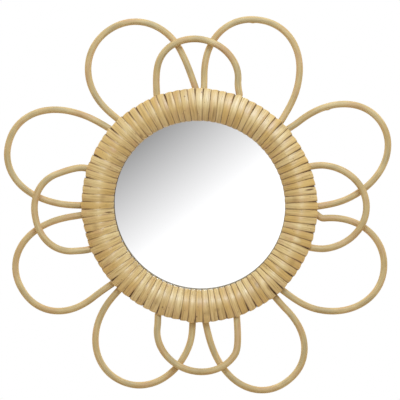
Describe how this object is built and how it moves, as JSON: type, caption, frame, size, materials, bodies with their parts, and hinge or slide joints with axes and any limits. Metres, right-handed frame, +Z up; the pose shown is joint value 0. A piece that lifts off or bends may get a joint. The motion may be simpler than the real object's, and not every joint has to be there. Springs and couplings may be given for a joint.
{
  "type": "wall mirror",
  "caption": "Round wall mirror in a broad rattan-bound ring, framed by a flower of bent cane loops, with a sawtooth hanger on its back.",
  "frame": {"origin": "middle of the hanger's flat back face, which lies against the wall", "axes": "+Y into the wall, the mirror faces -Y; +Z up; +X to the right of someone facing the mirror"},
  "size_m": [0.504, 0.0342, 0.4911],
  "materials": {
    "rattan_peel": "satin",
    "round_cane": "satin",
    "hoop_cane": "matte",
    "silvered_glass": "polished",
    "fibreboard": "matte",
    "zinc_plated_steel": "satin"
  },
  "bodies": {
    "root": {"mirror_glass": "silvered_glass", "backing_board": "fibreboard", "ring_core": "hoop_cane", "ring_binding": "rattan_peel", "large_petal_top_left": "round_cane", "large_petal_top_right": "round_cane", "large_petal_right_upper": "round_cane", "large_petal_right_lower": "round_cane", "large_petal_bottom_right": "round_cane", "large_petal_bottom_left": "round_cane", "large_petal_left_lower": "round_cane", "large_petal_left_upper": "round_cane", "small_petal_top": "round_cane", "small_petal_right": "round_cane", "small_petal_bottom": "round_cane", "small_petal_left": "round_cane", "hanger": "zinc_plated_steel", "hanger_screw_left": "zinc_plated_steel", "hanger_screw_right": "zinc_plated_steel"}
  },
  "joints": []
}
